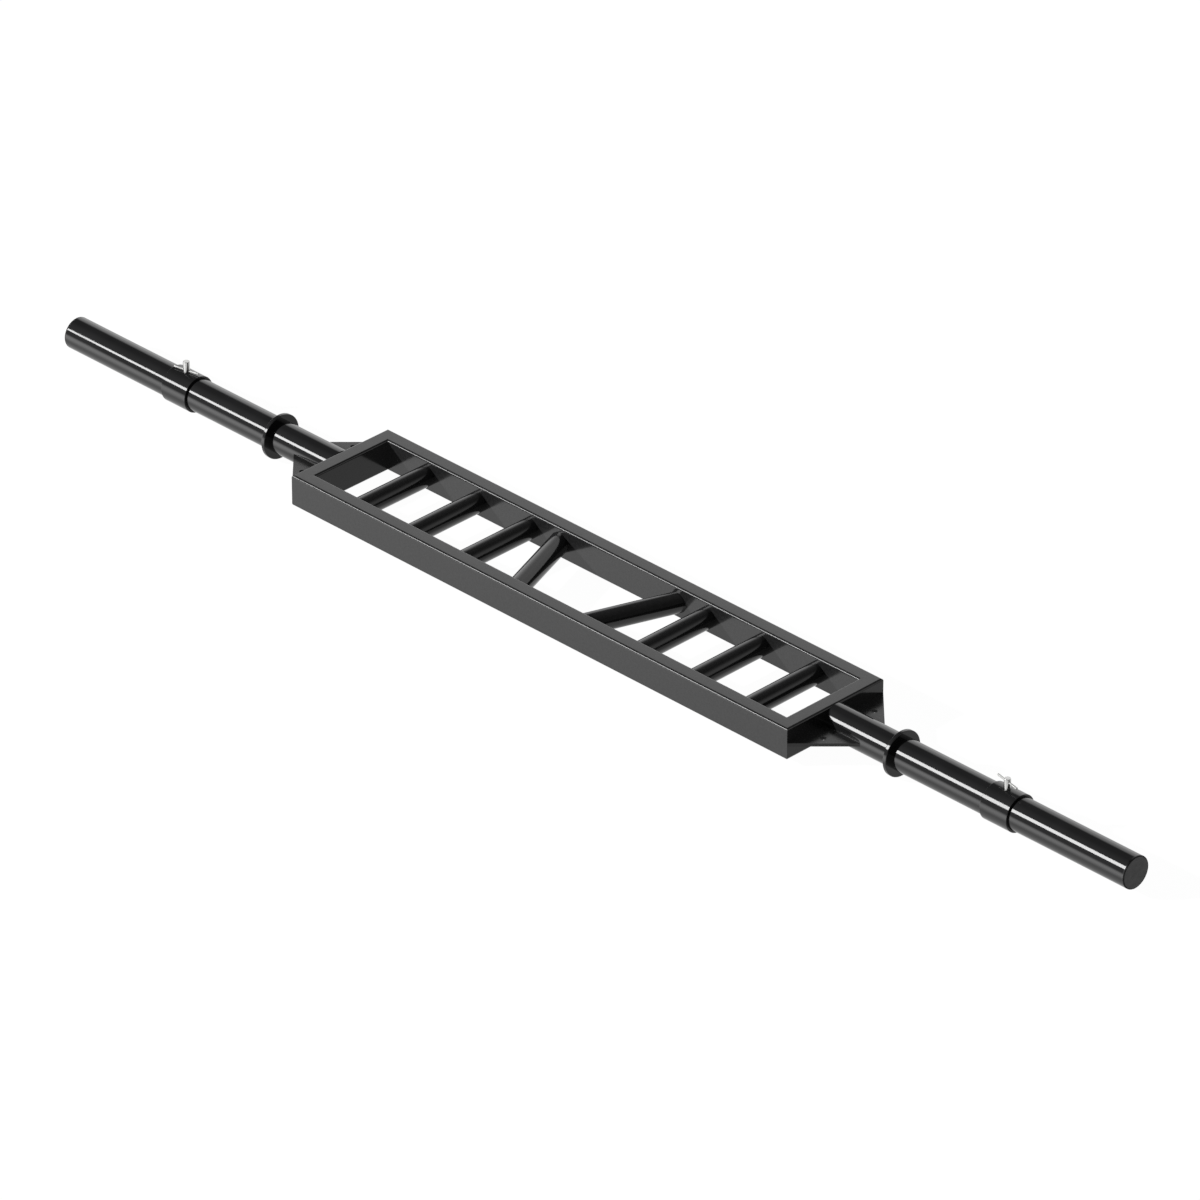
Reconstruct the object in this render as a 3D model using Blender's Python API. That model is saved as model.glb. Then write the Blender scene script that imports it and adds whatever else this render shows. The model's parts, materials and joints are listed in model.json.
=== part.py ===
"""A swiss bar: a barbell whose middle is a frame of cross grips, with a plate sleeve at each end.

Metres, +Z up. X runs along the bar and Y across it, from the front rail to the back rail. The origin
lies midway along the bar, at the height of the lowest points of the two stop rings.
"""

import math

import bmesh
import bpy

# Clearances
FIT_GAP = 0.0003
COLLAR_PLAY = 0.0005

# Rails of the frame, in rectangular tube
RAIL_HEIGHT = 0.050
RAIL_THICKNESS = 0.025
RAIL_WALL = 0.0025
RAIL_CORNER = 0.0035
LEAST_CORNER = 0.0006

# Grips, in round tube, and the room between them along the frame
GRIP_LENGTH = 0.142
GRIP_DIAMETER = 0.032
GRIP_WALL = 0.0025
ANGLED_GRIP_OFFSET = 0.0918
ANGLED_GRIP_TURN = math.radians(20)
ANGLED_TO_INNER_GRIP = 0.0852
GRIP_SPACING = 0.106
OUTER_GRIP_TO_END_RAIL = 0.081

# Sleeves that carry the plates
SLEEVE_DIAMETER = 0.050
SLEEVE_WALL = 0.004
SLEEVE_LENGTH = 0.562
CAP_THICKNESS = 0.003
CAP_EDGE = 0.0006
CAP_PLUG_LENGTH = 0.012

# Stop rings that the plates rest against
STOP_HEIGHT = 0.010
STOP_THICKNESS = 0.006
STOP_DISTANCE = 0.123
STOP_EDGE = 0.0008

# Gussets between the end rails and the sleeves
GUSSET_THICKNESS = 0.005
GUSSET_REACH = 0.071
GUSSET_HOLE_DIAMETER = 0.0087
GUSSET_HOLE_INSET = 0.026

# Collars that hold the plates
COLLAR_LENGTH = 0.050
COLLAR_WALL = 0.003
COLLAR_DISTANCE = 0.170
COLLAR_EDGE = 0.0005

# Clamp screws and their tommy bars
SCREW_DIAMETER = 0.010
SCREW_STAND = 0.0175
SCREW_EDGE = 0.0005
PAD_THICKNESS = 0.001
TOMMY_DIAMETER = 0.0032
TOMMY_LENGTH = 0.045
TOMMY_EDGE = 0.0004
LOW_TOMMY_CLEARANCE = 0.001
HIGH_TOMMY_DROP = 0.0053
LOW_TOMMY_TURN = math.radians(10)
HIGH_TOMMY_TURN = math.radians(-12)

# Steps round the curved pieces
LARGE_STEPS = 48
GRIP_STEPS = 40
SMALL_STEPS = 24
CORNER_STEPS = 4
EDGE_STEPS = 2
CUT_MARGIN = 0.002
SMOOTH_ANGLE = math.radians(35)

# Sizes that follow from the ones above
RAIL_INNER_CORNER = max(RAIL_CORNER - RAIL_WALL, LEAST_CORNER)
INNER_GRIP_OFFSET = ANGLED_GRIP_OFFSET + ANGLED_TO_INNER_GRIP
SQUARE_GRIPS = {
    "inner": INNER_GRIP_OFFSET,
    "middle": INNER_GRIP_OFFSET + GRIP_SPACING,
    "outer": INNER_GRIP_OFFSET + 2 * GRIP_SPACING,
}
FRAME_WIDTH = GRIP_LENGTH + 2 * RAIL_THICKNESS
FRAME_END = SQUARE_GRIPS["outer"] + OUTER_GRIP_TO_END_RAIL + RAIL_THICKNESS
SLEEVE_RADIUS = SLEEVE_DIAMETER / 2
SLEEVE_BORE_RADIUS = SLEEVE_RADIUS - SLEEVE_WALL
STOP_RADIUS = SLEEVE_RADIUS + STOP_HEIGHT
STOP_FACE = FRAME_END + STOP_DISTANCE + STOP_THICKNESS
BAR_END = FRAME_END + SLEEVE_LENGTH
AXIS_HEIGHT = STOP_RADIUS
COLLAR_BORE_RADIUS = SLEEVE_RADIUS + COLLAR_PLAY
COLLAR_RADIUS = COLLAR_BORE_RADIUS + COLLAR_WALL
COLLAR_MIDDLE = STOP_FACE + COLLAR_DISTANCE + COLLAR_LENGTH / 2
SCREW_RADIUS = SCREW_DIAMETER / 2
TOMMY_RADIUS = TOMMY_DIAMETER / 2
PAD_FOOT = SLEEVE_RADIUS + FIT_GAP
SCREW_TIP = PAD_FOOT + PAD_THICKNESS + FIT_GAP
SCREW_TOP = COLLAR_RADIUS + SCREW_STAND

# The left tommy bar lies low on its screw and the right one high
TOMMY_PLACES = {
    "left": (COLLAR_RADIUS + LOW_TOMMY_CLEARANCE + TOMMY_RADIUS, LOW_TOMMY_TURN),
    "right": (SCREW_TOP - HIGH_TOMMY_DROP, HIGH_TOMMY_TURN),
}

SIDES = {"left": -1, "right": 1}
ENDS = {"front": -1, "back": 1}

# Colour, roughness and metallic value of each finish
FINISHES = {
    "satin_black": ((0.030, 0.030, 0.032, 1), 0.42, 0.0),
    "gloss_black": ((0.012, 0.012, 0.013, 1), 0.16, 0.0),
    "dull_black": ((0.045, 0.045, 0.047, 1), 0.60, 0.0),
    "zinc": ((0.78, 0.79, 0.80, 1), 0.22, 1.0),
    "brass": ((0.75, 0.55, 0.24, 1), 0.30, 1.0),
}


def clear_scene():
    for old in list(bpy.context.scene.objects):
        bpy.data.objects.remove(old, do_unlink=True)


def make_material(name, finish):
    """A Principled BSDF in one of the finishes."""
    colour, roughness, metallic = FINISHES[finish]
    material = bpy.data.materials.new(name)
    material.use_nodes = True
    shader = material.node_tree.nodes["Principled BSDF"]
    shader.inputs["Base Color"].default_value = colour
    shader.inputs["Roughness"].default_value = roughness
    shader.inputs["Metallic"].default_value = metallic
    return material


def place_mesh(name, mesh, finish, location=(0, 0, 0), rotation=(0, 0, 0), parent=None):
    """An object for a mesh, with a material of its own."""
    mesh.shade_smooth()
    mesh.set_sharp_from_angle(angle=SMOOTH_ANGLE)
    mesh.materials.append(make_material(name + "_" + finish, finish))
    placed = bpy.data.objects.new(name, mesh)
    placed.location = location
    placed.rotation_euler = rotation
    placed.parent = parent
    bpy.context.scene.collection.objects.link(placed)
    return placed


def make_pivot(name, location, parent=None):
    """An empty on the axis that a moving piece slides along or turns about."""
    pivot = bpy.data.objects.new(name, None)
    pivot.location = location
    pivot.parent = parent
    bpy.context.scene.collection.objects.link(pivot)
    return pivot


def skin(name, loops, hollow):
    """A mesh over a row of loops. A hollow one joins its last loop to its first, others are closed."""
    work = bmesh.new()
    rows = [[work.verts.new(point) for point in loop] for loop in loops]
    following = rows[1:] + rows[:1] if hollow else rows[1:]
    for row, after in zip(rows, following):
        for here in range(len(row)):
            there = (here + 1) % len(row)
            work.faces.new((row[here], row[there], after[there], after[here]))
    if not hollow:
        work.faces.new(rows[0])
        work.faces.new(rows[-1])
    bmesh.ops.recalc_face_normals(work, faces=work.faces)
    mesh = bpy.data.meshes.new(name)
    work.to_mesh(mesh)
    work.free()
    return mesh


def turn(name, profile, steps, hollow=False):
    """A mesh turned about Z from a profile of (radius, height) points."""
    angles = [math.tau * step / steps for step in range(steps)]
    loops = [[(r * math.cos(a), r * math.sin(a), z) for a in angles] for r, z in profile]
    return skin(name, loops, hollow)


def edge_arc(radius, height, size, start, steps=EDGE_STEPS):
    """Profile points of a rounded edge: a quarter turn about (radius, height) from the start angle."""
    angles = [start - math.pi / 2 * step / steps for step in range(steps + 1)]
    return [(radius + size * math.cos(a), height + size * math.sin(a)) for a in angles]


def ring_profile(bore, radius, low, high, edge):
    """Profile of a ring with rounded outer edges, from the bore's top over the outside."""
    top = edge_arc(radius - edge, high - edge, edge, math.pi / 2)
    bottom = edge_arc(radius - edge, low + edge, edge, 0)
    return [(bore, high)] + top + bottom + [(bore, low)]


def cut(target, cutter):
    """Take the cutter out of the target and leave the cutter as a hidden guide."""
    boolean = target.modifiers.new("cut_" + cutter.name, "BOOLEAN")
    boolean.operation = "DIFFERENCE"
    boolean.solver = "EXACT"
    boolean.object = cutter
    cutter.hide_render = True
    cutter.display_type = "WIRE"


def rectangle_outline(depth, height, corner):
    """(y, z) points round a rectangle with rounded corners, centred on the origin."""
    points = []
    for quarter in range(4):
        side_y = 1 if quarter in (0, 3) else -1
        side_z = 1 if quarter in (0, 1) else -1
        for step in range(CORNER_STEPS + 1):
            angle = math.pi / 2 * (quarter + step / CORNER_STEPS)
            y = side_y * (depth / 2 - corner) + corner * math.cos(angle)
            z = side_z * (height / 2 - corner) + corner * math.sin(angle)
            points.append((y, z))
    return points


def mitred_loop(outline, half_length, end):
    """The outline at one end of a rail, cut at 45 degrees so that the inner face is shorter."""
    reach = half_length - RAIL_THICKNESS / 2 - FIT_GAP / math.sqrt(2)
    return [(end * (reach - y), y, z) for y, z in outline]


def add_rail(name, length, across, turned):
    """A mitred tube whose outer face lies at the given distance from the frame's middle."""
    outer = rectangle_outline(RAIL_THICKNESS, RAIL_HEIGHT, RAIL_CORNER)
    inner_depth = RAIL_THICKNESS - 2 * RAIL_WALL
    inner = rectangle_outline(inner_depth, RAIL_HEIGHT - 2 * RAIL_WALL, RAIL_INNER_CORNER)
    half = length / 2
    loops = [
        mitred_loop(outer, half, -1),
        mitred_loop(outer, half, 1),
        mitred_loop(inner, half, 1),
        mitred_loop(inner, half, -1),
    ]
    middle = across - RAIL_THICKNESS / 2
    place = (math.sin(turned) * middle, -math.cos(turned) * middle, AXIS_HEIGHT)
    place_mesh(name, skin(name, loops, hollow=True), "satin_black", place, (0, 0, turned))


def add_rails():
    add_rail("front_rail", 2 * FRAME_END, FRAME_WIDTH / 2, 0)
    add_rail("right_end_rail", FRAME_WIDTH, FRAME_END, math.pi / 2)
    add_rail("back_rail", 2 * FRAME_END, FRAME_WIDTH / 2, math.pi)
    add_rail("left_end_rail", FRAME_WIDTH, FRAME_END, -math.pi / 2)


def grip_loop(radius, angle, end):
    """The end of a grip tube at an angle to the rails, trimmed flat to the rail's face."""
    reach = end * (GRIP_LENGTH / 2 - FIT_GAP)
    loop = []
    for step in range(GRIP_STEPS):
        round_tube = math.tau * step / GRIP_STEPS
        across = radius * math.cos(round_tube) / math.cos(angle)
        loop.append((across + reach * math.tan(angle), reach, radius * math.sin(round_tube)))
    return loop


def add_grip(name, x, angle=0.0):
    outer = GRIP_DIAMETER / 2
    inner = outer - GRIP_WALL
    loops = [
        grip_loop(outer, angle, -1),
        grip_loop(outer, angle, 1),
        grip_loop(inner, angle, 1),
        grip_loop(inner, angle, -1),
    ]
    place_mesh(name, skin(name, loops, hollow=True), "satin_black", (x, 0, AXIS_HEIGHT))


def add_grips(side, sign):
    for place, offset in SQUARE_GRIPS.items():
        add_grip(side + "_" + place + "_grip", sign * offset)
    add_grip(side + "_angled_grip", sign * ANGLED_GRIP_OFFSET, sign * ANGLED_GRIP_TURN)


def along_bar(sign):
    """Rotation that points a turned piece's Z axis away from the frame."""
    return (0, sign * math.pi / 2, 0)


def add_sleeve(side, sign):
    name = side + "_sleeve"
    start = FRAME_END + FIT_GAP
    finish = BAR_END - CAP_THICKNESS - FIT_GAP
    profile = [
        (SLEEVE_BORE_RADIUS, finish),
        (SLEEVE_RADIUS, finish),
        (SLEEVE_RADIUS, start),
        (SLEEVE_BORE_RADIUS, start),
    ]
    mesh = turn(name, profile, LARGE_STEPS, hollow=True)
    place_mesh(name, mesh, "gloss_black", (0, 0, AXIS_HEIGHT), along_bar(sign))


def add_sleeve_cap(side, sign):
    """A disc over the sleeve's end with a plug that fits in the tube."""
    name = side + "_sleeve_cap"
    plug = SLEEVE_BORE_RADIUS - FIT_GAP
    back = -CAP_THICKNESS
    profile = edge_arc(SLEEVE_RADIUS - CAP_EDGE, -CAP_EDGE, CAP_EDGE, math.pi / 2)
    profile += [(SLEEVE_RADIUS, back), (plug, back), (plug, back - CAP_PLUG_LENGTH)]
    mesh = turn(name, profile, LARGE_STEPS)
    place_mesh(name, mesh, "dull_black", (sign * BAR_END, 0, AXIS_HEIGHT), along_bar(sign))


def add_stop_ring(side, sign):
    name = side + "_stop_ring"
    bore = SLEEVE_RADIUS + FIT_GAP
    profile = ring_profile(bore, STOP_RADIUS, -STOP_THICKNESS, 0, STOP_EDGE)
    mesh = turn(name, profile, LARGE_STEPS, hollow=True)
    place_mesh(name, mesh, "gloss_black", (sign * STOP_FACE, 0, AXIS_HEIGHT), along_bar(sign))


def add_gusset(name, side, end):
    """A triangular plate from the frame's corner to the sleeve, with one hole."""
    x = side * (FRAME_END + FIT_GAP)
    y = end * (SLEEVE_RADIUS + FIT_GAP)
    corner_y = end * (FRAME_WIDTH / 2 - FIT_GAP)
    tip_x = side * (FRAME_END + GUSSET_REACH)
    corners = [(x, y), (tip_x, y), (x, corner_y)]
    half = GUSSET_THICKNESS / 2
    loops = [[(px, py, height) for px, py in corners] for height in (-half, half)]
    plate = place_mesh(name, skin(name, loops, False), "satin_black", (0, 0, AXIS_HEIGHT))
    reach = half + CUT_MARGIN
    radius = GUSSET_HOLE_DIAMETER / 2
    hole_mesh = turn(name + "_hole", [(radius, reach), (radius, -reach)], SMALL_STEPS)
    hole_x = side * (FRAME_END + GUSSET_HOLE_INSET)
    hole_y = end * (SLEEVE_RADIUS + GUSSET_HOLE_INSET)
    hole = place_mesh(name + "_hole", hole_mesh, "satin_black", (hole_x, hole_y, AXIS_HEIGHT))
    cut(plate, hole)


def add_gussets(side, sign):
    for end, end_sign in ENDS.items():
        add_gusset(side + "_" + end + "_gusset", sign, end_sign)


def add_collar(side, sign, pivot):
    """The sliding collar, with a hole in its top for the clamp screw."""
    name = side + "_collar"
    half = COLLAR_LENGTH / 2
    profile = ring_profile(COLLAR_BORE_RADIUS, COLLAR_RADIUS, -half, half, COLLAR_EDGE)
    mesh = turn(name, profile, LARGE_STEPS, hollow=True)
    collar = place_mesh(name, mesh, "gloss_black", (0, 0, 0), along_bar(sign), pivot)
    radius = SCREW_RADIUS + FIT_GAP
    top = COLLAR_RADIUS + CUT_MARGIN
    hole_mesh = turn(name + "_hole", [(radius, top), (radius, 0)], SMALL_STEPS)
    cut(collar, place_mesh(name + "_hole", hole_mesh, "gloss_black", parent=pivot))


def add_pressure_pad(side, pivot):
    name = side + "_pressure_pad"
    profile = [(SCREW_RADIUS, PAD_THICKNESS), (SCREW_RADIUS, 0)]
    mesh = turn(name, profile, SMALL_STEPS)
    place_mesh(name, mesh, "brass", (0, 0, PAD_FOOT), parent=pivot)


def tommy_mesh(name, radius, half, edge):
    """A plain round bar about Z with chamfered ends."""
    profile = [(radius - edge, half), (radius, half - edge), (radius, edge - half), (radius - edge, -half)]
    return turn(name, profile, SMALL_STEPS)


def add_clamp_screw(side, pivot):
    """The screw and the tommy bar through it, which turn together."""
    height, turned = TOMMY_PLACES[side]
    name = side + "_clamp_screw"
    profile = [
        (SCREW_RADIUS - SCREW_EDGE, SCREW_TOP),
        (SCREW_RADIUS, SCREW_TOP - SCREW_EDGE),
        (SCREW_RADIUS, SCREW_TIP + SCREW_EDGE),
        (SCREW_RADIUS - SCREW_EDGE, SCREW_TIP),
    ]
    screw = place_mesh(name, turn(name, profile, SMALL_STEPS), "zinc", parent=pivot)
    across = (0, math.pi / 2, turned)
    hole_name = name + "_hole"
    reach = SCREW_RADIUS + CUT_MARGIN
    radius = TOMMY_RADIUS + FIT_GAP
    hole_mesh = turn(hole_name, [(radius, reach), (radius, -reach)], SMALL_STEPS)
    cut(screw, place_mesh(hole_name, hole_mesh, "zinc", (0, 0, height), across, pivot))
    bar_name = side + "_tommy_bar"
    bar_mesh = tommy_mesh(bar_name, TOMMY_RADIUS, TOMMY_LENGTH / 2, TOMMY_EDGE)
    place_mesh(bar_name, bar_mesh, "zinc", (0, 0, height), across, pivot)


def add_collar_set(side, sign):
    """A collar with its pad, screw and tommy bar, each under the pivot that it moves with."""
    slide = make_pivot(side + "_collar_slide", (sign * COLLAR_MIDDLE, 0, AXIS_HEIGHT))
    add_collar(side, sign, slide)
    lift = make_pivot(side + "_pad_lift", (0, 0, 0), slide)
    add_pressure_pad(side, lift)
    add_clamp_screw(side, make_pivot(side + "_screw_turn", (0, 0, 0), lift))


def main():
    clear_scene()
    add_rails()
    for side, sign in SIDES.items():
        add_grips(side, sign)
        add_sleeve(side, sign)
        add_sleeve_cap(side, sign)
        add_stop_ring(side, sign)
        add_gussets(side, sign)
        add_collar_set(side, sign)


main()
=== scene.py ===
import json
import math

import bmesh
import bpy
from bpy.props import FloatProperty, FloatVectorProperty, IntProperty, PointerProperty
from bpy.types import Operator, Panel, PropertyGroup
from mathutils import Matrix, Vector


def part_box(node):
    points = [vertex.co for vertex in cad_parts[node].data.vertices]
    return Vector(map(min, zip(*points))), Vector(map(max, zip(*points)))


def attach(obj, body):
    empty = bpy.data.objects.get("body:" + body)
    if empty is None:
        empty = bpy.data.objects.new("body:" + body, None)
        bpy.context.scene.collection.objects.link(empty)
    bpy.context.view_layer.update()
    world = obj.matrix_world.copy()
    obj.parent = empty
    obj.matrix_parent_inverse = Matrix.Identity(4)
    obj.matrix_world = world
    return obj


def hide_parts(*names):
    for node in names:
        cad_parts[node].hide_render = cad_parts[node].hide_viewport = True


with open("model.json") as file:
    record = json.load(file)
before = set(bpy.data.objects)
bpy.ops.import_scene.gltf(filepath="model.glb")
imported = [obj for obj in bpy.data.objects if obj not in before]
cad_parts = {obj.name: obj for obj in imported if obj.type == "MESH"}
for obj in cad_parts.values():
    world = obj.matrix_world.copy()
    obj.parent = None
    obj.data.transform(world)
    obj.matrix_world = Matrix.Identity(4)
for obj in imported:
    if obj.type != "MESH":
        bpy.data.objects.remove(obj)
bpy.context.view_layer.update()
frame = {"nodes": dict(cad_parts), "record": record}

bl_info = {
    "name": "Swiss Bar Finish",
    "version": (1, 0, 0),
    "blender": (4, 5, 0),
    "location": "3D View > Sidebar > Swiss Bar",
    "description": "Painted frame and grips, gloss sleeves and collars, and plated clamp screws",
    "category": "Object",
}

X, Y, Z = 0, 1, 2
SIDES = {"left": -1, "right": 1}
ENDS = {"front": -1, "back": 1}
GRIP_PLACES = ("outer", "middle", "inner", "angled")
BODY_OF = {node: body for body, nodes in frame["record"]["behaviour"]["bodies"].items() for node in nodes}


def low(node, axis):
    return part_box(node)[0][axis]


def high(node, axis):
    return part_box(node)[1][axis]


def middle(node, axis):
    return (low(node, axis) + high(node, axis)) / 2


def extent(node, axis):
    return high(node, axis) - low(node, axis)


# The frame's outer and inner faces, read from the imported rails
FRAME_END = high("right_end_rail", X)
FRAME_SIDE = high("back_rail", Y)
BAY_SIDE = low("back_rail", Y)
RAIL_DEPTH = FRAME_SIDE - BAY_SIDE
RAIL_FOOT = low("front_rail", Z)
RAIL_TOP = high("front_rail", Z)
AXIS_HEIGHT = (RAIL_FOOT + RAIL_TOP) / 2

# The pieces' own sizes in metres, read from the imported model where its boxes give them
ANGLED_GRIP_TURN = math.radians(20)
GRIP_RADIUS = extent("left_outer_grip", X) / 2
SLEEVE_RADIUS = extent("left_sleeve", Y) / 2
BAR_END = high("right_sleeve_cap", X)
CAP_SEAT = 0.003
CAP_EDGE = 0.0006
CAP_EDGE_DEPTH = 0.0018
# Width of the cap's rounded rim, which also bounds the painted shade on it
CAP_RIM = 0.0016
CAP_PLUG_PLAY = 0.0003
STOP_RADIUS = extent("right_stop_ring", Y) / 2
STOP_EDGE = 0.001
COLLAR_RADIUS = extent("right_collar", Y) / 2
COLLAR_PLAY = 0.0005
COLLAR_EDGE = 0.0005
GUSSET_HOLE_RADIUS = 0.00435
GUSSET_HOLE_INSET = 0.026
SCREW_RADIUS = extent("right_clamp_screw", X) / 2
SCREW_HOLE_PLAY = 0.0003
TOMMY_RADIUS = extent("right_tommy_bar", Z) / 2
TOMMY_LENGTH = 0.045
TOMMY_TURN = {"left": math.radians(10), "right": math.radians(-12)}
CUT_MARGIN = 0.002
TOUCH = 0.00002
EDGE_STEPS = 5
GUSSET_HOLE_STEPS = 48
COLLAR_HOLE_STEPS = 64

# The photograph's camera, solved from the edges of the frame and the sleeves.
# Places are in metres, the lens and the sensor in millimetres.
CAMERA_PLACE = (8.640408, -8.605473, 7.253972)
CAMERA_TARGET = (0.022378, 0.012557, 0.023295)
CAMERA_LENS = 301.02
CAMERA_SENSOR = 36.0
CAMERA_REACH = 200.0

# Edges sharper than this stay crisp
SMOOTH_ANGLE = math.radians(32)


class SwissBarFrameSettings(PropertyGroup):
    """Sizes and paint of the rails, gussets and grips"""

    corner_radius: FloatProperty(
        name="Corner radius",
        description="Radius of the rails' rounded corners",
        default=0.0035,
        min=0.0005,
        max=0.012,
        precision=5,
        unit="LENGTH",
    )
    corner_steps: IntProperty(
        name="Corner steps",
        description="Faces round each rounded corner of a rail",
        default=8,
        min=2,
        max=24,
    )
    rail_wall: FloatProperty(
        name="Rail wall",
        description="Wall thickness of the rails",
        default=0.0025,
        min=0.001,
        max=0.008,
        precision=5,
        unit="LENGTH",
    )
    grip_wall: FloatProperty(
        name="Grip wall",
        description="Wall thickness of the grips",
        default=0.0025,
        min=0.001,
        max=0.008,
        precision=5,
        unit="LENGTH",
    )
    grip_steps: IntProperty(
        name="Grip steps",
        description="Faces round each grip",
        default=96,
        min=24,
        max=256,
    )
    paint_colour: FloatVectorProperty(
        name="Paint colour",
        description="Base colour of the powder coat",
        default=(0.015, 0.015, 0.0153),
        min=0.0,
        max=1.0,
        size=3,
        subtype="COLOR",
    )
    paint_roughness: FloatProperty(
        name="Paint roughness",
        description="Middle roughness of the powder coat",
        default=0.135,
        min=0.0,
        max=1.0,
        subtype="FACTOR",
    )
    grain_size: FloatProperty(
        name="Grain size",
        description="Size of the powder coat's grain",
        default=0.0016,
        min=0.0001,
        max=0.01,
        precision=5,
        unit="LENGTH",
    )
    grain_height: FloatProperty(
        name="Grain height",
        description="Depth of the powder coat's grain",
        default=0.000006,
        min=0.0,
        max=0.001,
        precision=6,
        unit="LENGTH",
    )


class SwissBarSleeveSettings(PropertyGroup):
    """Sizes and enamel of the sleeves, stop rings and collars"""

    sleeve_wall: FloatProperty(
        name="Sleeve wall",
        description="Wall thickness of the sleeves",
        default=0.004,
        min=0.001,
        max=0.02,
        precision=5,
        unit="LENGTH",
    )
    round_steps: IntProperty(
        name="Round steps",
        description="Faces round each sleeve, ring, cap and collar",
        default=144,
        min=24,
        max=512,
    )
    enamel_colour: FloatVectorProperty(
        name="Enamel colour",
        description="Base colour of the gloss enamel",
        default=(0.008, 0.008, 0.0084),
        min=0.0,
        max=1.0,
        size=3,
        subtype="COLOR",
    )
    enamel_roughness: FloatProperty(
        name="Enamel roughness",
        description="Middle roughness of the gloss enamel",
        default=0.085,
        min=0.0,
        max=1.0,
        subtype="FACTOR",
    )
    peel_size: FloatProperty(
        name="Orange peel size",
        description="Size of the ripples in the gloss enamel",
        default=0.0035,
        min=0.0005,
        max=0.02,
        precision=5,
        unit="LENGTH",
    )
    peel_height: FloatProperty(
        name="Orange peel height",
        description="Depth of the ripples in the gloss enamel",
        default=0.000012,
        min=0.0,
        max=0.001,
        precision=6,
        unit="LENGTH",
    )
    cap_colour: FloatVectorProperty(
        name="Cap colour",
        description="Base colour of the plastic end caps",
        default=(0.015, 0.015, 0.0153),
        min=0.0,
        max=1.0,
        size=3,
        subtype="COLOR",
    )


class SwissBarScrewSettings(PropertyGroup):
    """Sizes and plating of the clamp screws and tommy bars"""

    screw_edge: FloatProperty(
        name="Screw edge",
        description="Rounding of the clamp screw's top edge",
        default=0.0006,
        min=0.0001,
        max=0.003,
        precision=5,
        unit="LENGTH",
    )
    tommy_edge: FloatProperty(
        name="Tommy bar edge",
        description="Rounding of the tommy bar's ends",
        default=0.0005,
        min=0.0001,
        max=0.0015,
        precision=5,
        unit="LENGTH",
    )
    small_steps: IntProperty(
        name="Small steps",
        description="Faces round each screw and tommy bar",
        default=64,
        min=16,
        max=256,
    )
    plating_colour: FloatVectorProperty(
        name="Plating colour",
        description="Base colour of the bright plating",
        default=(0.63, 0.63, 0.62),
        min=0.0,
        max=1.0,
        size=3,
        subtype="COLOR",
    )
    brass_colour: FloatVectorProperty(
        name="Brass colour",
        description="Base colour of the pressure pads",
        default=(0.75, 0.55, 0.24),
        min=0.0,
        max=1.0,
        size=3,
        subtype="COLOR",
    )


class SwissBarStageSettings(PropertyGroup):
    """Floor, lamps and surroundings"""

    floor_colour: FloatVectorProperty(
        name="Floor colour",
        description="Colour of the plain floor",
        default=(0.85, 0.85, 0.85),
        min=0.0,
        max=1.0,
        size=3,
        subtype="COLOR",
    )
    floor_size: FloatProperty(
        name="Floor size",
        description="Length of the floor's sides",
        default=120.0,
        min=5.0,
        max=500.0,
        unit="LENGTH",
    )
    floor_lift: FloatProperty(
        name="Floor lift",
        description="Share of the floor's own white in its colour, so that only a soft shadow shows",
        default=0.93,
        min=0.0,
        max=1.0,
        subtype="FACTOR",
    )
    sun_strength: FloatProperty(
        name="Key strength",
        description="Strength of the key lamp",
        default=4.5,
        min=0.0,
        max=20.0,
    )
    sun_angle: FloatProperty(
        name="Key size",
        description="Angular size of the key lamp, which softens its shadows",
        default=math.radians(2.5),
        min=0.0,
        max=math.radians(60),
        subtype="ANGLE",
    )
    fill_level: FloatProperty(
        name="Fill level",
        description="Even fill from all sides",
        default=0.2,
        min=0.0,
        max=2.0,
    )
    softbox_level: FloatProperty(
        name="Softbox level",
        description="Brightness of the softbox that gives the streak along the sleeves",
        default=17.5,
        min=0.0,
        max=60.0,
    )


# Meshes


def skin(name, rows, hollow):
    """A mesh over rows of points. A hollow one joins its last row to its first, others are closed."""
    work = bmesh.new()
    made = [[work.verts.new(point) for point in row] for row in rows]
    following = made[1:] + made[:1] if hollow else made[1:]
    for row, after in zip(made, following):
        for here in range(len(row)):
            there = (here + 1) % len(row)
            work.faces.new((row[here], row[there], after[there], after[here]))
    if not hollow:
        work.faces.new(made[0])
        work.faces.new(made[-1])
    bmesh.ops.recalc_face_normals(work, faces=work.faces)
    mesh = bpy.data.meshes.new(name)
    work.to_mesh(mesh)
    work.free()
    return mesh


def turned_rows(profile, steps, place):
    """Rows of points turned about Z from (radius, height) pairs, and then moved into place."""
    angles = [math.tau * step / steps for step in range(steps)]
    return [[place @ Vector((r * math.cos(a), r * math.sin(a), z)) for a in angles] for r, z in profile]


def edge_arc(radius, height, size, start):
    """Points of a rounded edge: a quarter turn about (radius, height) from the start angle."""
    angles = [start - math.pi / 2 * step / EDGE_STEPS for step in range(EDGE_STEPS + 1)]
    return [(radius + size * math.cos(a), height + size * math.sin(a)) for a in angles]


def ring_profile(bore, radius, low_end, high_end, edge):
    """Profile of a ring with rounded outer edges, from the bore's high end over the outside."""
    upper = edge_arc(radius - edge, high_end - edge, edge, math.pi / 2)
    lower = edge_arc(radius - edge, low_end + edge, edge, 0)
    return [(bore, high_end)] + upper + lower + [(bore, low_end)]


def outward(side, x=0.0):
    """Place for a turned piece on the bar's axis, with its Z pointing away from the frame."""
    return Matrix.Translation((x, 0, AXIS_HEIGHT)) @ Matrix.Rotation(side * math.pi / 2, 4, "Y")


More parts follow.
